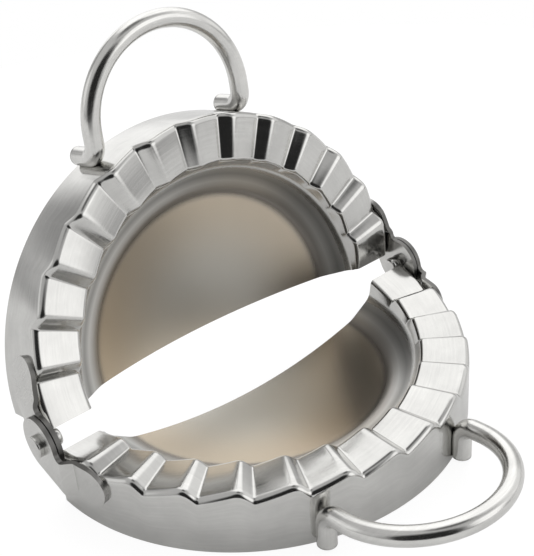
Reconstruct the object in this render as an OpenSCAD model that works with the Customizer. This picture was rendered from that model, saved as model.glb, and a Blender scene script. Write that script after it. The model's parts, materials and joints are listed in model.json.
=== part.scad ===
// Empanada press of stainless steel: two pressed half-shells on a rivet hinge, each with a wire handle.
// It stands on the cutting edge of the lower half, with the upper half raised.

/* [Half shells] */
// Outside diameter across the two cutting walls, and so of the dough disc they cut
press_d = 95; // [80:1:130]
// Height of a wall, from its cutting edge to the middle of the crimps
wall_h = 13.4; // [12:0.1:18]
// Thickness of the pressed sheet
sheet_t = 0.8; // [0.6:0.1:1]
// Outside radius of the bend from the wall to the flange
rim_r = 1.4; // [1.2:0.1:2.2]
// Width of the rim and flange together, from the wall's outside to the bowl
flange_w = 10.1; // [8:0.1:13]
// Outside radius of the bend from the flange into the bowl
lip_r = 1.1; // [1.1:0.1:1.6]

/* [Crimps] */
// Number of steep steps in the flange of one half
crimp_count = 13; // [9:1:17]
// Height of a crimp from valley to ridge, at the rim
crimp_h = 2.2; // [1:0.1:2.6]
// Share of a crimp's width that its steep face takes, in percent
steep_share = 24; // [20:1:40]

/* [Bowl] */
// Depth of the steep first step under the flange
step_h = 3.2; // [2:0.1:4]
// Slope of that step, in degrees from level
step_slope = 70; // [60:1:80]
// Slope of the ledge below the step, in degrees from level
ledge_slope = 33; // [25:1:40]
// Width of that ledge, measured level
ledge_w = 5.6; // [4:0.1:8]
// Depth of the bowl at its middle, under the flange
bowl_h = 11.2; // [9:0.1:11.8]

/* [Handles] */
// Diameter of the handle wire
wire_d = 4; // [3:0.1:5]
// Distance between the centre lines of the two legs
leg_span = 36.7; // [28:0.1:44]
// Length of a leg, from its foot's centre line to the start of the round crown
leg_len = 4.7; // [4.5:0.1:14]
// Length of a leg's straight part, between the crown and the bend into the foot
straight_len = 1.6; // [1:0.1:1.7]
// Height at which the centre lines of leg and foot meet
leg_z = 8.5; // [7:0.1:10]
// Rise of the loop away from level, in degrees
loop_rise = 8; // [0:0.5:15]
// Height of a foot's cut end above the cutting edge
foot_z = 0.8; // [0.4:0.1:1.4]
// Depth by which welding flattens the foot against the wall
weld_flat = 0.3; // [0.1:0.1:0.5]

/* [Hinge] */
// Angle by which the upper half is raised from lying flat, 180 being closed
raised = 76; // [0:1:180]
// Distance between the flanges when the press is closed
closed_gap = 1.2; // [0.8:0.1:2]
// Distance from the rivet's centre line to a half's straight edge
edge_setback = 2.2; // [2:0.1:3]
// Thickness of the hinge tabs
tab_t = 1; // [0.8:0.1:1.2]
// Radius of a tab's end round the rivet
eye_r = 5.8; // [5:0.1:6.5]
// Radius of a tab's welded end
weld_end_r = 4.3; // [3.5:0.1:4.5]
// Distance from the rivet to the middle of the welded end
tab_reach = 12.4; // [12:0.1:15]
// Diameter of the rivet's shank
rivet_d = 3.2; // [2.5:0.1:3.4]
// Diameter of the rivet's outer head
head_d = 4.6; // [4:0.1:6]
// Thickness of the outer head
head_h = 1.2; // [0.8:0.1:1.6]
// Diameter of the peened inner end
peen_d = 3.7; // [3.5:0.1:3.8]
// Length of the peened inner end
peen_h = 2.2; // [1.5:0.1:3]

/* [Fits] */
// Gap between surfaces that slide past each other at the hinge
slide_gap = 0.25; // [0.2:0.05:0.4]
// Radial clearance of the rivet in the upper half's tabs, which turn on it
turn_clear = 0.06; // [0.02:0.01:0.1]
// Radial clearance of the rivet in the lower half's tabs, which hold it
hold_clear = 0.02; // [0.01:0.01:0.03]
// Clearance between the necks of two facing tabs when closed, half of it on each
neck_clear = 0.6; // [0.4:0.1:1]

/* [Hidden] */
$fn = 96;

press_r = press_d / 2;
wire_r = wire_d / 2;
rivet_r = rivet_d / 2;
pivot_z = wall_h + closed_gap / 2;

// The crimps: steep faces sit at even angles, and each steep face steps down from a ridge to a valley.
// Turned end for end, one half's ridges drop into the other half's valleys.
half_turn = 180;
crimp_pitch = half_turn / (crimp_count + 1);
steep_a = crimp_pitch * steep_share / 100;
wide_a = crimp_pitch - steep_a;
// Half the angle that the round on a ridge takes up, and the tighter one in a valley
ridge_a = 0.7;
valley_a = 0.35;
crease_r = press_r - rim_r;

// Height of the crimped surface over its middle, at an angle counted from one end of the half,
// as a share of the height from the middle to a ridge
function steep_number(a) = min(crimp_count, max(1, round(a / crimp_pitch)));
function off_steep(a) = a - steep_number(a) * crimp_pitch;
function on_wide(d) = sign(d) * (2 * (abs(d) - steep_a / 2) / wide_a - 1);
function crimp(a) = abs(off_steep(a)) <= steep_a / 2
    ? -2 * off_steep(a) / steep_a
    : on_wide(off_steep(a));

// The angles at which the sheet is sampled: both sides of each crease, and the middle of each wide face
function creases(k) = let (c = k * crimp_pitch, h = steep_a / 2) [
    c - h - ridge_a,
    c - h + ridge_a,
    c + h - valley_a,
    c + h + valley_a
];
columns = [
    0,
    crimp_pitch / 2 - steep_a / 4,
    for (k = [1 : crimp_count]) each concat(
        creases(k),
        [(k + 0.5) * crimp_pitch + (k == crimp_count ? steep_a / 4 : 0)]
    ),
    half_turn
];

// The sheet's section, from the cutting edge up the wall, over the rim and flange and down to the bowl's middle.
// Each point is a distance from the press's axis, a height, and the share of the crimp's height found there.
step_foot_r = press_r - flange_w - step_h / tan(step_slope);
ledge_foot_r = step_foot_r - ledge_w;
ledge_foot_z = wall_h - step_h - ledge_w * tan(ledge_slope);
bowl_z = wall_h - bowl_h;
dish_rise = ledge_foot_z - bowl_z;
dish_r = (ledge_foot_r * ledge_foot_r + dish_rise * dish_rise) / (2 * dish_rise);
dish_a = asin(ledge_foot_r / dish_r);
dish_steps = 6;
step_bend_r = 3.5;
ledge_bend_r = 7;

function unit(v) = v / norm(v);
// Points along the round that joins the line from a to b with the line from b to c
function bend(a, b, c, r, n) = let (
    u = unit(a - b),
    v = unit(c - b),
    half = acos(u * v) / 2,
    mid = b + unit(u + v) * r / sin(half),
    from = b + u * r / tan(half) - mid,
    to = b + v * r / tan(half) - mid,
    sweep = half_turn - 2 * half
) [for (i = [0 : n]) mid + (sin((1 - i / n) * sweep) * from + sin(i / n * sweep) * to) / sin(sweep)];
function on_dish(i) = let (a = dish_a * (1 - i / dish_steps)) [
    dish_r * sin(a),
    bowl_z + dish_r * (1 - cos(a))
];

edge_pt = [press_r, 0];
rim_pt = [press_r, wall_h];
lip_pt = [press_r - flange_w, wall_h];
step_pt = [step_foot_r, wall_h - step_h];
ledge_pt = [ledge_foot_r, ledge_foot_z];
section = concat(
    [edge_pt],
    bend(edge_pt, rim_pt, lip_pt, rim_r, 4),
    bend(rim_pt, lip_pt, step_pt, lip_r, 3),
    bend(lip_pt, step_pt, ledge_pt, step_bend_r, 2),
    bend(step_pt, ledge_pt, on_dish(1), ledge_bend_r, 2),
    [for (i = [2 : dish_steps - 1]) on_dish(i)]
);
rows = len(section);
// Only the rim, the flange and the lip are crimped
first_crimped = 1;
last_crimped = 9;
function crimp_share(i) = i >= first_crimped && i <= last_crimped ? 1 : 0;

// The same section on the sheet's other side
function leftward(v) = [-v[1], v[0]] / norm(v);
function other_side(i) = let (
    after = leftward((i < rows - 1 ? section[i + 1] : [0, bowl_z]) - section[i]),
    before = i > 0 ? leftward(section[i] - section[i - 1]) : after
) section[i] + (before + after) * sheet_t / (1 + before * after);

// A point of the sheet, swung round to its angle and raised or lowered with the crimps
function swung(p, share, a) = [
    -p[0] * cos(a),
    -p[0] * sin(a),
    p[1] + share * crimp(a) * crimp_h / 2 * p[0] / crease_r
];

// One pressed half, bulging towards -Y from its straight edge on the XZ plane, standing on its cutting edge
module half_shell() {
    cols = len(columns);
    outside = [for (a = columns) for (i = [0 : rows - 1]) swung(section[i], crimp_share(i), a)];
    inside = [for (a = columns) for (i = [0 : rows - 1]) swung(other_side(i), crimp_share(i), a)];
    poles = [[0, 0, bowl_z], [0, 0, bowl_z - sheet_t]];
    back = cols * rows;
    pole = 2 * back;
    patches = [for (c = [0 : cols - 2]) for (i = [0 : rows - 2]) c * rows + i];
    outer_faces = [for (p = patches) each [[p, p + rows, p + 1], [p + 1, p + rows, p + rows + 1]]];
    inner_faces = [for (p = patches) each [
        [back + p, back + p + 1, back + p + rows],
        [back + p + 1, back + p + rows + 1, back + p + rows]
    ]];
    pole_faces = [for (c = [0 : cols - 2]) let (p = c * rows + rows - 1) each [
        [p, p + rows, pole],
        [back + p + rows, back + p, pole + 1]
    ]];
    edge_faces = [for (c = [0 : cols - 2]) let (p = c * rows) each [
        [p, back + p, p + rows],
        [p + rows, back + p, back + p + rows]
    ]];
    last = (cols - 1) * rows;
    end_faces = [for (i = [0 : rows - 2]) each [
        [i, i + 1, back + i],
        [i + 1, back + i + 1, back + i],
        [last + i, back + last + i, last + i + 1],
        [last + i + 1, back + last + i, back + last + i + 1]
    ]];
    tip = rows - 1;
    tip_faces = [
        [tip, pole, back + tip],
        [pole, pole + 1, back + tip],
        [last + tip, back + last + tip, pole],
        [pole, back + last + tip, pole + 1]
    ];
    polyhedron(
        points = concat(outside, inside, poles),
        faces = concat(outer_faces, inner_faces, pole_faces, edge_faces, end_faces, tip_faces)
    );
}

// The handle: one bent wire, its crown a half circle, its feet lying up the wall and welded to it
leg_x = leg_span / 2;
foot_y = -sqrt(pow(press_r + wire_r - weld_flat, 2) - leg_x * leg_x);
foot_turn = 90 - loop_rise;
bend_length = leg_len - straight_len;
foot_bend_r = bend_length / tan(foot_turn / 2);
// Where welding flattens a foot it swells a little, and the swell runs just past the bend's end
foot_swell = 0.05;
swell_run = 0.3;
wire_fn = 48;

module foot_bend() {
    translate([0, -bend_length, -foot_bend_r])
        rotate([0, -90, 0])
            rotate_extrude(angle = foot_turn, $fn = wire_fn)
                translate([foot_bend_r, 0])
                    circle(r = wire_r, $fn = wire_fn);
}

module leg() {
    translate([0, -leg_len, 0])
        rotate([-90, 0, 0])
            cylinder(r = wire_r, h = straight_len, $fn = wire_fn);
}

module crown() {
    translate([0, -leg_len, 0])
        rotate([0, 0, half_turn])
            rotate_extrude(angle = half_turn)
                translate([leg_x, 0])
                    circle(r = wire_r, $fn = wire_fn);
}

module foot() {
    translate([0, 0, foot_z])
        cylinder(r = wire_r + foot_swell, h = leg_z - bend_length + swell_run - foot_z, $fn = wire_fn);
}

module wire_handle() {
    difference() {
        union() {
            translate([0, foot_y, leg_z])
                rotate([-loop_rise, 0, 0]) {
                    crown();
                    for (side = [-1, 1])
                        translate([side * leg_x, 0, 0]) {
                            leg();
                            foot_bend();
                        }
                }
            for (side = [-1, 1])
                translate([side * leg_x, foot_y, 0])
                    foot();
        }
        cylinder(r = press_r, h = 2 * wall_h);
    }
}

// The hinge tabs, seen from the side with the rivet at the origin and the welded end towards -Y
neck_drop = neck_clear / 2;
weld_end = [-tab_reach, -neck_drop - weld_end_r];
neck_fillet_r = 1.5;
fillet_rise = neck_fillet_r - neck_drop;
fillet = [-sqrt(pow(eye_r + neck_fillet_r, 2) - pow(fillet_rise, 2)), fillet_rise];
fillet_a = atan2(fillet[1], fillet[0]);
// Direction in which both rounds touch the straight lower edge
low_a = atan2(-weld_end[1], tab_reach) - asin((eye_r - weld_end_r) / norm(weld_end)) - 90;
function arc(centre, r, from, to, n) = [
    for (i = [0 : n]) let (a = from + (to - from) * i / n) centre + r * [cos(a), sin(a)]
];

module tab_outline() {
    polygon(concat(
        arc([0, 0], eye_r, low_a, fillet_a, 24),
        arc(fillet, neck_fillet_r, fillet_a - half_turn, -90, 6),
        arc(weld_end, weld_end_r, 90, 360 + low_a, 18)
    ));
}

// The tabs in plan: they follow the wall, then step outwards clear of the other half's eye, then run straight
step_near_y = edge_setback - eye_r - neck_fillet_r;
step_far_y = step_near_y - 2 * tab_t;
back_y = edge_setback - tab_reach - weld_end_r - tab_t;
far_y = edge_setback + eye_r + tab_t;
plan_steps = 8;
function on_wall(r, y) = [sqrt(r * r - y * y), y];
function eased(s) = s * s * (3 - 2 * s);
function on_step(i, r, straight_x) = let (
    s = i / plan_steps,
    y = step_far_y + s * (step_near_y - step_far_y)
) [on_wall(r, y)[0] * (1 - eased(s)) + straight_x * eased(s), y];

module tab_plan(set_out) {
    inner_x = press_r + set_out;
    outer_x = inner_x + tab_t;
    polygon(concat(
        [
            for (i = [0 : plan_steps - 1])
                on_wall(press_r + tab_t, back_y + (step_far_y - back_y) * i / plan_steps)
        ],
        [for (i = [0 : plan_steps]) on_step(i, press_r + tab_t, outer_x)],
        [[outer_x, far_y], [inner_x, far_y]],
        [for (i = [plan_steps : -1 : 1]) on_step(i, press_r, inner_x)],
        // From here the wall itself bounds the tab
        [on_wall(press_r - tab_t, step_far_y), on_wall(press_r - tab_t, back_y)]
    ));
}

// A tab on the side of a half that lies towards +X
module hinge_tab(set_out, clearance) {
    difference() {
        intersection() {
            translate([0, edge_setback, pivot_z])
                rotate([90, 0, 90])
                    linear_extrude(press_d)
                        tab_outline();
            linear_extrude(2 * pivot_z)
                tab_plan(set_out);
        }
        cylinder(r = press_r, h = 2 * pivot_z);
        translate([0, edge_setback, pivot_z])
            rotate([0, 90, 0])
                cylinder(r = rivet_r + clearance, h = press_d);
    }
}

inner_set = slide_gap;
outer_set = inner_set + tab_t + slide_gap;
module inner_tab() {
    hinge_tab(inner_set, turn_clear);
}
module outer_tab() {
    hinge_tab(outer_set, hold_clear);
}

// The rivet on the +X side, turned about its own axis: peened end, shank and head
head_x = press_r + outer_set + tab_t;
peen_x = press_r + inner_set - slide_gap;
edge_break = 0.3;
module rivet() {
    rotate([0, 90, 0])
        rotate_extrude()
            polygon([
                [0, peen_x - peen_h],
                [peen_d / 2 - 2 * edge_break, peen_x - peen_h],
                [peen_d / 2, peen_x - peen_h + 2 * edge_break],
                [peen_d / 2, peen_x],
                [rivet_r, peen_x],
                [rivet_r, head_x],
                [head_d / 2, head_x],
                [head_d / 2, head_x + head_h - edge_break],
                [head_d / 2 - edge_break, head_x + head_h],
                [0, head_x + head_h]
            ]);
}

// Places on the press. Its middle lies half way between the lower handle's front and the furthest point behind.
crown_reach = (leg_len + leg_x) * cos(loop_rise) - foot_y;
crown_z = leg_z + (leg_len + leg_x) * sin(loop_rise);
front_y = -edge_setback - crown_reach - wire_r;
wall_back = (edge_setback + press_r) * cos(raised) + pivot_z * sin(raised);
crown_back = (edge_setback + crown_reach) * cos(raised) + (pivot_z - crown_z) * sin(raised) + wire_r;
hinge_y = -(front_y + max(wall_back, crown_back)) / 2;

module at_hinge() {
    translate([0, hinge_y, pivot_z])
        children();
}
module on_lower() {
    translate([0, hinge_y - edge_setback, 0])
        children();
}
module on_upper() {
    at_hinge()
        rotate([raised, 0, 0])
            translate([0, 0, -pivot_z])
                rotate([0, 0, half_turn])
                    translate([0, -edge_setback, 0])
                        children();
}

module lower_shell() {
    color("silver") on_lower() half_shell();
}
module upper_shell() {
    color("silver") on_upper() half_shell();
}
module lower_handle() {
    color("gainsboro") on_lower() wire_handle();
}
module upper_handle() {
    color("gainsboro") on_upper() wire_handle();
}
module lower_left_tab() {
    color("lightgray") on_lower() mirror([1, 0, 0]) outer_tab();
}
module lower_right_tab() {
    color("lightgray") on_lower() outer_tab();
}
// The upper half is turned end for end, so its left is the +X side of the half as drawn
module upper_left_tab() {
    color("lightgray") on_upper() inner_tab();
}
module upper_right_tab() {
    color("lightgray") on_upper() mirror([1, 0, 0]) inner_tab();
}
module left_rivet() {
    color("darkgray") at_hinge() mirror([1, 0, 0]) rivet();
}
module right_rivet() {
    color("darkgray") at_hinge() rivet();
}

lower_shell();
upper_shell();
lower_handle();
upper_handle();
lower_left_tab();
lower_right_tab();
upper_left_tab();
upper_right_tab();
left_rivet();
right_rivet();
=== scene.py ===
import json
from math import asin, atan2, cos, pi, radians, sin, sqrt, tan

import bpy
from mathutils import Matrix, Quaternion, Vector


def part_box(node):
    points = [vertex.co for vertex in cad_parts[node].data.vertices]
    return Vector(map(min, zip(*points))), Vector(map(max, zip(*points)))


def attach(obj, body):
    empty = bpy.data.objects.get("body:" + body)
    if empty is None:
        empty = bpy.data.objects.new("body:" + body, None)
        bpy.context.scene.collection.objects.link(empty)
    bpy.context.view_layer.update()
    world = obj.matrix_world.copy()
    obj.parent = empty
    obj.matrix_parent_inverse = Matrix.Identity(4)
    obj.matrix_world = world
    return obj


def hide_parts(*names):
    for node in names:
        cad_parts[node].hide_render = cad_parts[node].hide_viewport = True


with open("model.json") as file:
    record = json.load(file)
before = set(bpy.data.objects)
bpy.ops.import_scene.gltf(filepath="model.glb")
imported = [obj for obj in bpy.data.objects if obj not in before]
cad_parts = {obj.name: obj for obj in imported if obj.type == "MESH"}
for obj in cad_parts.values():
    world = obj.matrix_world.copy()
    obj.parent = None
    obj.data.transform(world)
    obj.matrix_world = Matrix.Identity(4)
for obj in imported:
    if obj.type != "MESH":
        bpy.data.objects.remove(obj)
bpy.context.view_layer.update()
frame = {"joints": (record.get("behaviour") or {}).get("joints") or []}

# The camera stands a little above the press and to its left, behind a long lens,
# and leans slightly, as a camera held by hand does.
PHOTO_HEIGHT_PX = 556
camera_azimuth = radians(-37.4)
camera_elevation = radians(30.82)
camera_roll = radians(-4.3)
camera_distance = 0.2645
focal_length_px = 1189
# Where the lens points, counted in the picture's plane from the table under the middle of the hinge line
aim_right = 0.00505
aim_up = 0.02607

hinge = frame["joints"][0]
hinge_line = Vector(hinge["pos_m"])

camera_data = bpy.data.cameras.new("studio_camera")
camera_data.lens = focal_length_px / PHOTO_HEIGHT_PX * camera_data.sensor_width
camera_data.clip_start = 0.01
camera = bpy.data.objects.new("studio_camera", camera_data)
bpy.context.scene.collection.objects.link(camera)
towards_camera = Vector((
    sin(camera_azimuth) * cos(camera_elevation),
    -cos(camera_azimuth) * cos(camera_elevation),
    sin(camera_elevation),
))
turn = towards_camera.to_track_quat("Z", "Y") @ Quaternion((0, 0, 1), camera_roll)
aim = Vector((0, hinge_line.y, 0)) + turn @ Vector((aim_right, aim_up, 0))
camera.matrix_world = Matrix.Translation(aim + towards_camera * camera_distance) @ turn.to_matrix().to_4x4()
bpy.context.scene.camera = camera
bpy.context.scene.view_settings.view_transform = "Standard"


# The studio is a white room: a pale table under soft daylight, with the darker side of the room
# behind the camera. Polished steel shows that room, so it is drawn for the rays that metal sends back.
class Wire:
    """A socket in a node tree: sums on wires add Math nodes, and node() adds any other node."""

    def __init__(self, tree, socket=None):
        self.tree, self.socket = tree, socket

    def node(self, kind, sockets=None, out=0, stops=None, **settings):
        made = self.tree.nodes.new(kind)
        for name, value in settings.items():
            setattr(made, name, value)
        if stops:
            ramp = made.color_ramp.elements
            while len(ramp) < len(stops):
                ramp.new(0.5)
            for element, (place, shade) in zip(ramp, stops):
                element.position = place
                element.color = (*shade, 1) if hasattr(shade, "__len__") else (shade, shade, shade, 1)
        for name, value in (sockets or {}).items():
            if isinstance(value, Wire):
                self.tree.links.new(value.socket, made.inputs[name])
            else:
                made.inputs[name].default_value = value
        return Wire(self.tree, made.outputs[out]) if len(made.outputs) else made

    def other(self, out):
        return Wire(self.tree, self.socket.node.outputs[out])

    def math(self, operation, *values):
        return self.node("ShaderNodeMath", dict(enumerate(values)), operation=operation)

    def __add__(self, b): return self.math("ADD", self, b)
    def __radd__(self, b): return self.math("ADD", b, self)
    def __sub__(self, b): return self.math("SUBTRACT", self, b)
    def __rsub__(self, b): return self.math("SUBTRACT", b, self)
    def __mul__(self, b): return self.math("MULTIPLY", self, b)
    def __rmul__(self, b): return self.math("MULTIPLY", b, self)
    def __truediv__(self, b): return self.math("DIVIDE", self, b)
    def __rtruediv__(self, b): return self.math("DIVIDE", b, self)
    def __neg__(self): return self.math("MULTIPLY", self, -1.0)

    def mix(self, a, b):
        """From colour a to colour b as this wire goes from 0 to 1"""
        return self.node("ShaderNodeMix", {0: self, 6: a, 7: b}, out=2, data_type="RGBA")

    def ranged(self, low, high, to_low=0.0, to_high=1.0, **settings):
        """This wire's range from low to high carried over to another, held at its ends"""
        return self.node("ShaderNodeMapRange", {0: self, 1: low, 2: high, 3: to_low, 4: to_high}, **settings)


world = bpy.data.worlds.new("white_room")
bpy.context.scene.world = world
world.use_nodes = True
world.node_tree.nodes.clear()
room = Wire(world.node_tree)
look = room.node("ShaderNodeTexCoord", out="Generated")


def patch(azimuth, elevation, full, faded):
    """A round patch of the room, 1 within the full angle and 0 past the faded one. Azimuth 0 is the press's front"""
    a, e = radians(azimuth), radians(elevation)
    middle = (sin(a) * cos(e), -cos(a) * cos(e), sin(e))
    nearness = room.node("ShaderNodeVectorMath", {0: look, 1: middle}, out="Value", operation="DOT_PRODUCT")
    return nearness.ranged(cos(radians(faded)), cos(radians(full)), interpolation_type="SMOOTHSTEP")


# How bright the walls and floor are, and how much each patch adds or takes away
wall_light = 0.6
floor_light = 0.85
window = patch(29, 20, 15, 26) * 0.85
side_window = patch(76, 22, 16, 30) * 0.4
left_window = patch(-128, 14, 12, 25) * 0.35
skylight = patch(129, 53, 24, 38) * 0.85
back_window = patch(158, 18, 15, 28) * 0.72
dark_side = patch(-38, 21, 29, 41) * 0.94
dim_side = patch(-35, 8, 34, 58) * 0.35
back_corner = patch(-163, 26, 8, 20) * 0.4
overhead = patch(35, 77, 8, 20) * 0.75
up = room.node("ShaderNodeSeparateXYZ", {0: look}).other(2)
# A dim strip runs along the foot of the walls
strip = up.ranged(-0.03, 0.0) * up.ranged(0.1, 0.04) * 0.3
# The skylight and the back window lie over each other, and only the brighter one counts
behind = room.math("MAXIMUM", skylight, back_window)
walls = wall_light + window + side_window + behind + left_window
walls = walls * (1 - dim_side) * (1 - overhead) * (1 - back_corner) * (1 - strip)
# Below the walls lies the pale floor, and the dark side fades out over it
room_light = floor_light + (walls - floor_light) * up.ranged(-0.05, -0.01)
room_light = room_light * (1 - dark_side * up.ranged(-0.25, 0.03))
seen = room.node("ShaderNodeLightPath", out="Is Camera Ray")
plain = room.node("ShaderNodeBackground", {"Color": (1, 1, 1, 1), "Strength": 1.0})
drawn = room.node("ShaderNodeBackground", {"Color": (1, 1, 1, 1), "Strength": room_light})
shown = room.node("ShaderNodeMixShader", {0: seen, 1: drawn, 2: plain})
room.node("ShaderNodeOutputWorld", {"Surface": shown})

table_r = 0.26
table_sides = 64
table_drop = 0.00005
table_glow = 1.12
shadow_share = 0.18
shine_share = 0.2
table_mesh = bpy.data.meshes.new("table_top")
table_edge = [2 * pi * i / table_sides for i in range(table_sides)]
table_mesh.from_pydata([(table_r * cos(a), table_r * sin(a), 0) for a in table_edge], [], [range(table_sides)])
table = bpy.data.objects.new("table_top", table_mesh)
table.location.z = -table_drop
bpy.context.scene.collection.objects.link(table)
table_white = bpy.data.materials.new("table_white")
table_white.use_nodes = True
table_white.node_tree.nodes.clear()
top = Wire(table_white.node_tree)
camera_ray = top.node("ShaderNodeLightPath", out="Is Camera Ray")
glossy_ray = camera_ray.other("Is Glossy Ray")
matt = top.node("ShaderNodeBsdfDiffuse", {"Color": (0.88, 0.88, 0.88, 1)})
bright = top.node("ShaderNodeEmission", {"Color": (1, 1, 1, 1), "Strength": table_glow})
# Most of what the camera sees of the table is plain white, and steel shows a share of that; the rest keeps the shadow
kept = camera_ray * (1 - shadow_share) + glossy_ray * shine_share
top.node("ShaderNodeOutputMaterial", {"Surface": top.node("ShaderNodeMixShader", {0: kept, 1: matt, 2: bright})})
table_mesh.materials.append(table_white)

# One square lamp casts the shadow on the table. The steel doesn't show it, because the skylight is drawn there
lamp_place = Vector((0.42, 0.45, 0.75))
lamp_data = bpy.data.lights.new("overhead_softbox", "AREA")
lamp_data.shape = "SQUARE"
lamp_data.size = 0.7
lamp_data.energy = 1.2
lamp = bpy.data.objects.new("overhead_softbox", lamp_data)
lamp.matrix_world = Matrix.Translation(lamp_place) @ lamp_place.to_track_quat("Z", "Y").to_matrix().to_4x4()
lamp.visible_glossy = False
bpy.context.scene.collection.objects.link(lamp)


# The two half shells are stamped from one stainless sheet: a wall that ends in the cutting edge,
# a rim bent over into the crimped flange, and a stepped bowl. The halves are alike.
press_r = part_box("lower_shell")[1].x
wall_h = 0.0134
sheet_t = 0.0008
rim_r = 0.0014
flange_w = 0.0101
lip_r = 0.0011
step_h = 0.0032
step_slope = radians(70)
ledge_slope = radians(33)
ledge_w = 0.0056
bowl_h = 0.0112
step_bend_r = 0.0035
ledge_bend_r = 0.007
dish_points = 14
crimp_count = 13
crimp_h = 0.0022
steep_share = 0.24
columns_per_crimp = 32

steel_light = (0.67, 0.665, 0.645)
steel_dark = (0.56, 0.555, 0.54)


def steel(name, roughness, dent, grain, tone=1.0, place=None, wear_and_painted_light=None):
    """Stainless steel: cloudy in polish, a little uneven, with fine marks of rubbing. place is an attribute read
    instead of object coordinates, on a round piece; the last argument changes colour, gloss and height by a rule
    of its own: real marks on the wire handles, painted reflections in the bowl, painted shadow on the tab edges"""
    material = bpy.data.materials.new(name)
    material.use_nodes = True
    material.node_tree.nodes.clear()
    wire = Wire(material.node_tree)
    if place:
        spot = wire.node("ShaderNodeAttribute", attribute_name=place, out="Vector")
    else:
        spot = wire.node("ShaderNodeTexCoord", out="Object")
    x = wire.node("ShaderNodeSeparateXYZ", {0: spot})
    y, z = x.other(1), x.other(2)
    out = x.math("SQRT", x * x + y * y) if place else y
    # The marks of rubbing run along the piece, so their noise is squeezed across it
    squeeze, lean = 30, 0.7
    layers = wire.node("ShaderNodeCombineXYZ", {0: x, 1: y, 2: (out + z * lean) * squeeze})
    rubbed = wire.node("ShaderNodeTexNoise", {"Vector": layers, "Scale": 90.0, "Detail": 2.0, "Roughness": 0.6})
    clouds = wire.node("ShaderNodeTexNoise", {"Vector": spot, "Scale": 110.0, "Detail": 4.0, "Roughness": 0.6})
    waves = wire.node("ShaderNodeTexNoise", {"Vector": spot, "Scale": 170.0, "Detail": 2.0})
    fine = wire.node("ShaderNodeTexNoise", {"Vector": spot, "Scale": 1500.0, "Detail": 3.0})
    cloud = clouds.ranged(0.33, 0.68)
    lines = rubbed.ranged(0.4, 0.7)
    colour = (cloud * 0.65 + lines * 0.35).mix(
        tuple(c * tone for c in steel_dark) + (1,),
        tuple(c * tone for c in steel_light) + (1,),
    )
    gloss = roughness + (0.5 - cloud) * 0.07 + lines * 0.04 + (fine - 0.5) * 0.05
    height = waves * dent + fine * grain + lines * (grain * 1.5)
    # Here real marks of wear, or painted reflection and painted shadow, go into the colour
    if wear_and_painted_light:
        colour, gloss, height = wear_and_painted_light(wire, spot, colour, gloss, height)
    bump = wire.node("ShaderNodeBump", {"Height": height, "Strength": 1.0, "Distance": 1.0})
    surface = wire.node("ShaderNodeBsdfPrincipled", {
        "Base Color": colour, "Metallic": 1.0, "Roughness": gloss, "Normal": bump,
    })
    wire.node("ShaderNodeOutputMaterial", {"Surface": surface})
    return material


def blank(name, lines, marks=("bend",)):
    """A piece as it is marked out: lines of corners, each a point followed by one number for each mark"""
    points, edges, values = [], [], {mark: [] for mark in marks}
    for line in lines:
        edges += [(len(points) + i, len(points) + i + 1) for i in range(len(line) - 1)]
        for point, *numbers in line:
            points.append(point)
            for mark, number in zip(marks, numbers):
                values[mark].append(number)
    mesh = bpy.data.meshes.new(name)
    mesh.from_pydata(points, edges, [])
    for mark in marks:
        mesh.attributes.new(mark, "FLOAT", "POINT").data.foreach_set("value", values[mark])
    piece = bpy.data.objects.new(name, mesh)
    bpy.context.scene.collection.objects.link(piece)
    return piece


def forming(name, sizes):
    """A new Geometry Nodes tree with named sizes: the start of its chain, a dict of its sizes, and how to close it"""
    tree = bpy.data.node_groups.new(name, "GeometryNodeTree")
    tree.interface.new_socket("Geometry", in_out="INPUT", socket_type="NodeSocketGeometry")
    for size, value in sizes.items():
        kind = "NodeSocketInt" if isinstance(value, int) else "NodeSocketFloat"
        tree.interface.new_socket(size, in_out="INPUT", socket_type=kind)
    tree.interface.new_socket("Geometry", in_out="OUTPUT", socket_type="NodeSocketGeometry")
    start = Wire(tree).node("NodeGroupInput")

    def close(solid, material):
        real = start.node("GeometryNodeRealizeInstances", {0: solid})
        smooth = start.node("GeometryNodeSetShadeSmooth", {0: real})
        faced = start.node("GeometryNodeSetMaterial", {0: smooth, "Material": material})
        start.node("NodeGroupOutput", {0: faced})
        return tree

    return start, {size: start.other(size) for size in sizes}, close


def bent(start, size, limited=False):
    """The blank's lines as curves, with each corner rounded to the bend that is marked on it"""
    bend_radius = start.node("GeometryNodeInputNamedAttribute", {"Name": "bend"}, data_type="FLOAT")
    lines = start.node("GeometryNodeMeshToCurve", {0: start})
    return start.node("GeometryNodeFilletCurve", {
        "Curve": lines, "Radius": bend_radius, "Count": size["Bend steps"], "Limit Radius": limited,
    }, mode="POLY")


def flat_grid(start, columns, rows):
    """A grid from -0.5 to 0.5 each way, and where each of its points lies"""
    counts = {"Size X": 1.0, "Size Y": 1.0, "Vertices X": columns, "Vertices Y": rows}
    grid = start.node("GeometryNodeMeshGrid", counts)
    return grid, start.node("ShaderNodeSeparateXYZ", {0: start.node("GeometryNodeInputPosition")})


def section_grid(start, section, columns):
    """A grid with one row for each point of the section. Also gives how far across the grid each point lies,
    from 0 to 1, and a reader of what the section holds at a point's row"""
    rows = start.node("GeometryNodeAttributeDomainSize", {0: section}, component="CURVE")
    grid, spot = flat_grid(start, columns, rows)
    row = start.node("FunctionNodeFloatToInt", {0: (spot.other(1) + 0.5) * (rows - 1)}, rounding_mode="ROUND")

    def at_row(value, data_type):
        sampled = {"Geometry": section, "Value": value, "Index": row}
        return start.node("GeometryNodeSampleIndex", sampled, data_type=data_type)

    return grid, spot + 0.5, at_row


def marked(start, geometry, name, value, data_type="FLOAT"):
    """The geometry with a value kept on each point under a name"""
    mark = {"Geometry": geometry, "Name": name, "Value": value}
    return start.node("GeometryNodeStoreNamedAttribute", mark, data_type=data_type, domain="POINT")


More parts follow.
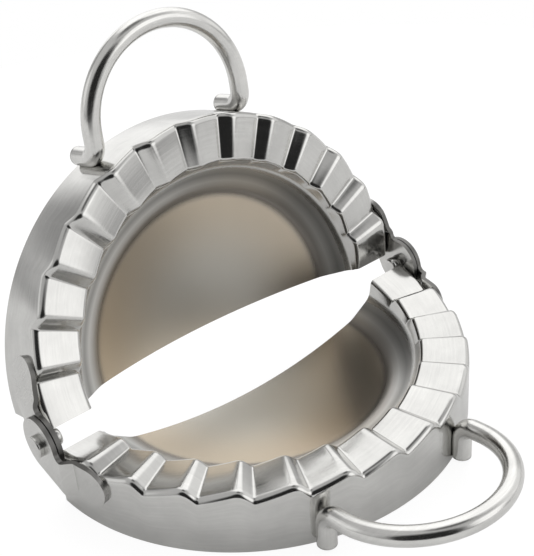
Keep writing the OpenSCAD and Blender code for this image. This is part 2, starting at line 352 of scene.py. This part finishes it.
def shaped(start, grid, places):
    """The grid drawn to its shape, with the points that meet there joined"""
    touching = 0.000002
    drawn = start.node("GeometryNodeSetPosition", {"Geometry": grid, "Position": places})
    return start.node("GeometryNodeMergeByDistance", {0: drawn, "Distance": touching})


def form(piece, tree, sizes):
    """Run a blank through its tree, with the sizes set by each socket's identifier"""
    modifier = piece.modifiers.new("formed", "NODES")
    modifier.node_group = tree
    for item in tree.interface.items_tree:
        if item.in_out == "INPUT" and item.name in sizes:
            modifier[item.identifier] = sizes[item.name]


def thicken(piece, thickness, even=True):
    """Give a drawn surface its sheet's thickness, away from the side that was drawn"""
    sheet = piece.modifiers.new("sheet", "SOLIDIFY")
    sheet.thickness = thickness
    sheet.offset = -1
    sheet.use_even_offset = even


def deburr(piece, width):
    """Round the edges that are sharper than the sheet's own bends"""
    edge = piece.modifiers.new("deburred", "BEVEL")
    edge.width = width
    edge.segments = 3
    edge.limit_method = "ANGLE"
    edge.angle_limit = radians(50)
    edge.harden_normals = True


def finished(piece):
    """The piece's plain mesh with its modifiers done; the marked-out blank is thrown away"""
    bpy.context.view_layer.update()
    made = bpy.data.meshes.new_from_object(piece.evaluated_get(bpy.context.evaluated_depsgraph_get()))
    outline = piece.data
    bpy.data.objects.remove(piece)
    bpy.data.meshes.remove(outline)
    return made


def fit(mesh, place, node, body):
    """One copy of a mesh at its place on the press, in a CAD node's stead"""
    own = mesh.copy()
    own.transform(place)
    if place.determinant() < 0:
        own.flip_normals()
    piece = bpy.data.objects.new(node + "_steel", own)
    bpy.context.scene.collection.objects.link(piece)
    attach(piece, body)
    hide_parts(node)


shell_sizes = {
    "Crimps": crimp_count,
    "Columns per crimp": columns_per_crimp,
    "Bend steps": 7,
    "Crimp height": crimp_h,
    "Steep share": steep_share,
    "Crimped radius": press_r - rim_r,
    "Ridge round": 2.0,
    "Valley round": 0.35,
}
start, size, close = forming("crimped_half", shell_sizes)
section = bent(start, size)
columns = (size["Crimps"] + 1) * size["Columns per crimp"] + 1
grid, across, at_row = section_grid(start, section, columns)
corner = at_row(start.node("GeometryNodeInputPosition"), "FLOAT_VECTOR")
corner = start.node("ShaderNodeSeparateXYZ", {0: corner})
radius, height = corner, corner.other(2)
crimped = at_row(start.node("GeometryNodeInputNamedAttribute", {"Name": "crimped"}, data_type="FLOAT"), "FLOAT")
# Along the half, counted in crimps, the steep faces stand at whole numbers
count = across * (size["Crimps"] + 1)
nearest = count.math("MINIMUM", count.math("MAXIMUM", count.math("ROUND", count), 1.0), size["Crimps"])
off = count - nearest
reach = count.math("ABSOLUTE", off)
down = reach / size["Steep share"] * -2
rising = (reach * 2 - size["Steep share"]) / (1 - size["Steep share"]) - 1
side = count.math("SIGN", off)
crease = size["Ridge round"] + (size["Valley round"] - size["Ridge round"]) * (side + 1) / 2
fold = count.math("SMOOTH_MAX", down, rising, crease) * side
lift = fold * crimped * radius * (size["Crimp height"] / 2) / size["Crimped radius"]
angle = across * pi
swept_x = -(radius * angle.math("COSINE", angle))
swept_y = -(radius * angle.math("SINE", angle))
swept = start.node("ShaderNodeCombineXYZ", {0: swept_x, 1: swept_y, 2: height + lift})
# Each point keeps its place on the half before crimping, for the marks of pressing to follow
unfolded = start.node("ShaderNodeCombineXYZ", {0: swept_x, 1: swept_y, 2: height})
sheet = marked(start, grid, "unfolded", unfolded, "FLOAT_VECTOR")
crimped_sheet = shaped(start, sheet, swept)

# How far from the press's axis the bowl's polish and painted reflections begin and end
bowl_reach = (0.0375, 0.034)
warm_reflection_reach = (0.01, 0.0285)
dish_edge = (0.0282, 0.0298)
ledge_edge = (0.0292, 0.0308)
reflection_band_reach = (0.029, 0.0378)


def bowl_polish_and_painted_reflections(wire, spot, colour, gloss, height):
    """Polish keeps the middle of the bowl smooth. Its colour is painted reflection: warm and brighter in the middle,
    browner towards the ledge, with painted dark and light bands over the step and ledge
    """
    x = wire.node("ShaderNodeSeparateXYZ", {0: spot})
    out = x.math("SQRT", x * x + x.other(1) * x.other(1))
    bowl = out.ranged(*bowl_reach, interpolation_type="SMOOTHSTEP")
    bowl = bowl * wire.node("ShaderNodeAttribute", attribute_name="open_side", out="Fac")
    # Painted warm reflection: brighter in the middle of the bowl, browner towards the ledge
    warm_reflection = out.ranged(*warm_reflection_reach, interpolation_type="SMOOTHSTEP").mix((1.14, 1.11, 1.05, 1), (1.0, 0.88, 0.73, 1))
    # Painted reflection bands: dark and light rings over the step and the ledge
    reflection_bands = wire.node("ShaderNodeValToRGB", {0: out.ranged(*reflection_band_reach)}, stops=[
        (0, (0.8, 0.72, 0.62)), (0.11, (0.46, 0.42, 0.38)), (0.24, (0.78, 0.75, 0.72)),
        (0.42, 1.12), (0.6, 0.66), (0.8, 1.0), (0.94, 0.75), (1, 0.8),
    ])
    # shade is painted reflection: the warm tint inside the dish's edge, the dark and light bands outside it
    shade = out.ranged(*dish_edge, interpolation_type="SMOOTHSTEP").mix(warm_reflection, reflection_bands)
    ledge = bowl * out.ranged(*ledge_edge, interpolation_type="SMOOTHSTEP")
    smooth = (bowl * 0.75).mix(colour, (0.615, 0.61, 0.592, 1))
    # The bowl's smoothed steel colour multiplied by the painted reflection
    reflection_tinted = wire.node(
        "ShaderNodeMix", {0: bowl, 6: smooth, 7: shade}, out=2, data_type="RGBA", blend_type="MULTIPLY"
    )
    gloss = gloss + bowl * (0.24 - gloss) * 0.8 + ledge * 0.1
    return reflection_tinted, gloss, height * (1 - bowl * 0.8)


pressed_steel = steel("pressed_steel", 0.15, 0.000006, 0.0000002, 1.0, "unfolded", bowl_polish_and_painted_reflections)
crimped_half = close(crimped_sheet, pressed_steel)

step_foot_r = press_r - flange_w - step_h / tan(step_slope)
ledge_foot_r = step_foot_r - ledge_w
ledge_foot_z = wall_h - step_h - ledge_w * tan(ledge_slope)
bowl_z = wall_h - bowl_h
dish_rise = ledge_foot_z - bowl_z
dish_r = (ledge_foot_r ** 2 + dish_rise ** 2) / (2 * dish_rise)
dish_a = asin(ledge_foot_r / dish_r)
dish = [dish_a * (1 - i / dish_points) for i in range(1, dish_points + 1)]
shell = blank("half_shell", [[
    ((press_r, 0, 0), 0, 0),
    ((press_r, 0, wall_h), rim_r, 1),
    ((press_r - flange_w, 0, wall_h), lip_r, 1),
    ((step_foot_r, 0, wall_h - step_h), step_bend_r, 0),
    ((ledge_foot_r, 0, ledge_foot_z), ledge_bend_r, 0),
    *(((dish_r * sin(a), 0, bowl_z + dish_r * (1 - cos(a))), 0, 0) for a in dish),
]], ("bend", "crimped"))
form(shell, crimped_half, shell_sizes)
thicken(shell, sheet_t)
deburr(shell, width=0.00012)
half_shell = finished(shell)
# Only the bowl's open side gets the smooth polish and the painted reflections
open_side = half_shell.attributes.new("open_side", "FLOAT", "POINT")
open_side.data.foreach_set("value", [float(vertex.normal.z > 0) for vertex in half_shell.vertices])

# The lower half stands on its cutting edge; the upper half is the same piece turned end for end at the hinge
edge_setback = hinge_line.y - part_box("lower_shell")[1].y
raised = radians(-hinge["range_deg"][0])
lower_place = Matrix.Translation((0, hinge_line.y - edge_setback, 0))
upper_place = (
    Matrix.Translation(hinge_line) @ Matrix.Rotation(raised, 4, "X") @ Matrix.Translation((0, 0, -hinge_line.z))
    @ Matrix.Rotation(pi, 4, "Z") @ Matrix.Translation((0, -edge_setback, 0))
)
fit(half_shell, lower_place, "lower_shell", "lower_half")
fit(half_shell, upper_place, "upper_shell", "upper_half")


# Each handle is one polished round wire, bent to a loop. Its two feet are bent down, cut off square
# and resistance-welded up the outside of the wall, which flattens them a little.
wire_r = 0.002
leg_x = 0.01835
leg_len = 0.0047
straight_len = 0.0016
leg_z = 0.0085
loop_rise = radians(8)
foot_z = 0.0008
end_ring = 0.0006
weld_flat = 0.0003

foot_y = -sqrt((press_r + wire_r - weld_flat) ** 2 - leg_x ** 2)
foot_bend_r = (leg_len - straight_len) / tan((pi / 2 - loop_rise) / 2)
# A hair under the loop's own radius, so that its two bends don't run into each other
crown_bend_r = leg_x * 0.9999
crown_y = foot_y - (leg_len + leg_x) * cos(loop_rise)
crown_z = leg_z + (leg_len + leg_x) * sin(loop_rise)
handle_sizes = {
    "Wire radius": wire_r,
    "Sides": 40,
    "Bend steps": 24,
    "Wall radius": press_r,
    "End height": foot_z,
}
start, size, close = forming("bent_wire", handle_sizes)
line = bent(start, size)
ring = start.node(
    "GeometryNodeCurvePrimitiveCircle", {"Resolution": size["Sides"], "Radius": size["Wire radius"]}, mode="RADIUS"
)
# Each point keeps its place along and round the wire, for the drawing marks to follow
line = marked(start, line, "run", start.node("GeometryNodeSplineParameter", out="Length"))
ring = marked(start, ring, "turn", start.node("GeometryNodeSplineParameter", out="Factor"))
wire_loop = start.node("GeometryNodeCurveToMesh", {"Curve": line, "Profile Curve": ring, "Fill Caps": True})
spot = start.node("ShaderNodeSeparateXYZ", {0: start.node("GeometryNodeInputPosition")})
spot_y, spot_z = spot.other(1), spot.other(2)
# The sawn end is marked before the weld flattens the foot against the wall
sawn_end = spot_z.ranged(size["End height"] + 0.0003, size["End height"] + 0.0001)
wire_loop = marked(start, wire_loop, "sawn", sawn_end)
from_axis = spot.math("SQRT", spot * spot + spot_y * spot_y)
push = spot.math("MAXIMUM", from_axis, size["Wall radius"]) / from_axis
pushed = start.node("ShaderNodeCombineXYZ", {0: spot * push, 1: spot_y * push, 2: spot_z})
wire_loop = start.node("GeometryNodeSetPosition", {"Geometry": wire_loop, "Position": pushed})


def drawn_and_sawn(wire, spot, colour, gloss, height):
    """Drawing leaves streaks along the wire, and the saw leaves a foot's end rough"""
    run = wire.node("ShaderNodeAttribute", attribute_name="run", out="Fac")
    turn = wire.node("ShaderNodeAttribute", attribute_name="turn", out="Fac") * (2 * pi)
    round_wire = wire.node("ShaderNodeCombineXYZ", {
        0: run * 3, 1: turn.math("COSINE", turn), 2: turn.math("SINE", turn),
    })
    dies = wire.node("ShaderNodeTexNoise", {"Vector": round_wire, "Scale": 9.0, "Detail": 5.0, "Roughness": 0.7})
    streak = dies.ranged(0.35, 0.65)
    colour = (streak * 0.22).mix(colour, (0.42, 0.415, 0.4, 1))
    gloss, height = gloss + streak * 0.06, height + streak * 0.000004
    sawn = wire.node("ShaderNodeAttribute", attribute_name="sawn", out="Fac").ranged(0.3, 0.9)
    chatter = wire.node("ShaderNodeTexNoise", {"Vector": spot, "Scale": 1900.0, "Detail": 3.0, "Roughness": 0.7})
    rough = (sawn * chatter.ranged(0.35, 0.65, 1.0, 0.0)).mix(colour, (0.2, 0.195, 0.185, 1))
    return rough, gloss + sawn * 0.25, height + sawn * chatter * 0.00006


polished_steel = steel("polished_steel", 0.13, 0.000003, 0.0000002, 1.2, wear_and_painted_light=drawn_and_sawn)
bent_wire = close(wire_loop, polished_steel)

handle = blank("wire_handle", [[
    ((-leg_x, foot_y, foot_z), 0),
    ((-leg_x, foot_y, foot_z + end_ring), 0),
    ((-leg_x, foot_y, leg_z), foot_bend_r),
    ((-leg_x, crown_y, crown_z), crown_bend_r),
    ((leg_x, crown_y, crown_z), crown_bend_r),
    ((leg_x, foot_y, leg_z), foot_bend_r),
    ((leg_x, foot_y, foot_z + end_ring), 0),
    ((leg_x, foot_y, foot_z), 0),
]])
form(handle, bent_wire, handle_sizes)
deburr(handle, width=0.00025)
wire_handle = finished(handle)
fit(wire_handle, lower_place, "lower_handle", "lower_half")
fit(wire_handle, upper_place, "upper_handle", "upper_half")


# The hinge tabs are stamped from thicker sheet. A tab's welded end is curved to the wall; the lower half's
# tabs are then stepped outwards, so that their round eyes pass outside the upper half's.
tab_t = 0.001
eye_r = 0.0058
weld_end_r = 0.0043
tab_reach = 0.0124
neck_drop = 0.0003
neck_fillet_r = 0.0015
slide_gap = 0.00025

tab_sizes = {
    "Stations": 161,
    "Ribbons": 9,
    "Bend steps": 8,
    "Outside radius": press_r + tab_t,
    "Set out": 0.0,
    "Step start": edge_setback - eye_r - neck_fillet_r,
    "Step length": 2 * tab_t,
}
start, size, close = forming("stepped_tab", tab_sizes)
edges = bent(start, size, limited=True)
grid, spot = flat_grid(start, size["Stations"], size["Ribbons"])
station = spot + 0.5
upper_edge, lower_edge = (
    start.node("GeometryNodeSampleCurve", {"Curves": edges, "Factor": station, "Curve Index": line}, out="Position")
    for line in (0, 1)
)
flat = start.node(
    "ShaderNodeMix", {0: spot.other(1) + 0.5, 4: lower_edge, 5: upper_edge}, out=1, data_type="VECTOR"
)
flat = start.node("ShaderNodeSeparateXYZ", {0: flat})
along, height = flat.other(1), flat.other(2)
wall_x = along.math("SQRT", size["Outside radius"] * size["Outside radius"] - along * along)
stepped = (along - (size["Step start"] - size["Step length"])) / size["Step length"]
stepped = stepped.ranged(0.0, 1.0, interpolation_type="SMOOTHSTEP")
plan_x = wall_x + (size["Outside radius"] + size["Set out"] - wall_x) * stepped
curved = start.node("ShaderNodeCombineXYZ", {0: plan_x, 1: along, 2: height})
tab = shaped(start, grid, curved)


def rough_edge_painted_shadow(wire, spot, colour, gloss, height):
    """A tab's edge is a little rougher than its faces, and painted shadow darkens the edge faces, standing in for the
    dark gap line beside the tab
    """
    edge = wire.node("ShaderNodeAttribute", attribute_name="edge_shadow", out="Fac")
    edge = edge.ranged(0.6, 0.9, interpolation_type="SMOOTHSTEP")
    # Painted shadow: the edge faces darken nearly to black
    return (edge * 0.85).mix(colour, (0.1, 0.097, 0.092, 1)), gloss + edge * 0.2, height


tab_steel = steel("tab_steel", 0.22, 0.000004, 0.0000003, 1.03, wear_and_painted_light=rough_edge_painted_shadow)
stepped_tab = close(tab, tab_steel)


def arc(centre, r, start_a, end_a, steps):
    """Points along a round end, in the tab's own plane, as angles from +Y towards +Z"""
    return [
        ((0, centre[0] + r * cos(a), centre[1] + r * sin(a)), 0)
        for a in (start_a + (end_a - start_a) * i / steps for i in range(steps + 1))
    ]


# The outline is two round ends joined above by a neck with a fillet and below by a line that touches both
eye = (edge_setback, hinge_line.z)
weld_end = (edge_setback - tab_reach, hinge_line.z - neck_drop - weld_end_r)
end_drop = neck_drop + weld_end_r
lower_a = atan2(end_drop, tab_reach) - asin((eye_r - weld_end_r) / sqrt(end_drop ** 2 + tab_reach ** 2)) - pi / 2
neck_a = pi - asin((neck_fillet_r - neck_drop) / (eye_r + neck_fillet_r))
neck_y = eye[0] + (eye_r + neck_fillet_r) * cos(neck_a)
neck = (neck_y, hinge_line.z - neck_drop + neck_fillet_r)
upper_line = (
    arc(weld_end, weld_end_r, pi, pi / 2, 20)
    + arc(neck, neck_fillet_r, -pi / 2, neck_a - pi, 8)
    + arc(eye, eye_r, neck_a, 0, 32)
)
lower_line = arc(weld_end, weld_end_r, -pi, lower_a, 20) + arc(eye, eye_r, lower_a, 0, 24)


def hinge_tab(set_out):
    piece = blank("hinge_tab", [upper_line, lower_line])
    form(piece, stepped_tab, {**tab_sizes, "Set out": set_out})
    thicken(piece, tab_t, even=False)
    deburr(piece, width=0.00016)
    tab = finished(piece)
    # Where the tab turns from its faces to its edge, kept as the mask for the painted edge shadow
    edge_shadow = tab.attributes.new("edge_shadow", "FLOAT", "POINT")
    edge_shadow.data.foreach_set("value", [1 - abs(vertex.normal.x) for vertex in tab.vertices])
    return tab


mirrored = Matrix.Scale(-1, 4, (1, 0, 0))
inner_tab = hinge_tab(slide_gap)
outer_tab = hinge_tab(slide_gap + tab_t + slide_gap)
fit(outer_tab, lower_place @ mirrored, "lower_left_tab", "lower_half")
fit(outer_tab, lower_place, "lower_right_tab", "lower_half")
fit(inner_tab, upper_place, "upper_left_tab", "upper_half")
fit(inner_tab, upper_place @ mirrored, "upper_right_tab", "upper_half")


# Each rivet is turned from rod: a flat head outside, and inside the shank's end peened over.
# It sits tight in the lower half's tab, and the upper half's tab turns on it.
rivet_r = 0.0016
head_r = 0.0023
head_h = 0.0012
peen_r = 0.00185
peen_h = 0.0022
peen_round_r = 0.0007
head_round_r = 0.00035
under_head_r = 0.00008
head_x = press_r + 2 * slide_gap + 2 * tab_t

rivet_sizes = {"Around": 64, "Bend steps": 6}
start, size, close = forming("turned_rivet", rivet_sizes)
section = bent(start, size)
grid, across, at_row = section_grid(start, section, size["Around"] + 1)
corner = at_row(start.node("GeometryNodeInputPosition"), "FLOAT_VECTOR")
corner = start.node("ShaderNodeSeparateXYZ", {0: corner})
angle = across * (2 * pi)
radius = corner.other(1)
turned = start.node("ShaderNodeCombineXYZ", {
    0: corner, 1: radius * angle.math("COSINE", angle), 2: radius * angle.math("SINE", angle),
})
turned = shaped(start, grid, turned)
rivet_steel = steel("rivet_steel", 0.22, 0.000003, 0.000001)
turned_rivet = close(turned, rivet_steel)

rivet_blank = blank("rivet", [[
    ((press_r - peen_h, 0, 0), 0),
    ((press_r - peen_h, peen_r, 0), peen_round_r),
    ((press_r, peen_r, 0), 0),
    ((press_r, rivet_r, 0), 0),
    ((head_x, rivet_r, 0), 0),
    ((head_x, head_r, 0), under_head_r),
    ((head_x + head_h, head_r, 0), head_round_r),
    ((head_x + head_h, 0, 0), 0),
]])
form(rivet_blank, turned_rivet, rivet_sizes)
rivet = finished(rivet_blank)
at_hinge = Matrix.Translation(hinge_line)
fit(rivet, at_hinge, "right_rivet", "lower_half")
fit(rivet, at_hinge @ Matrix.Rotation(pi, 4, "Z"), "left_rivet", "lower_half")
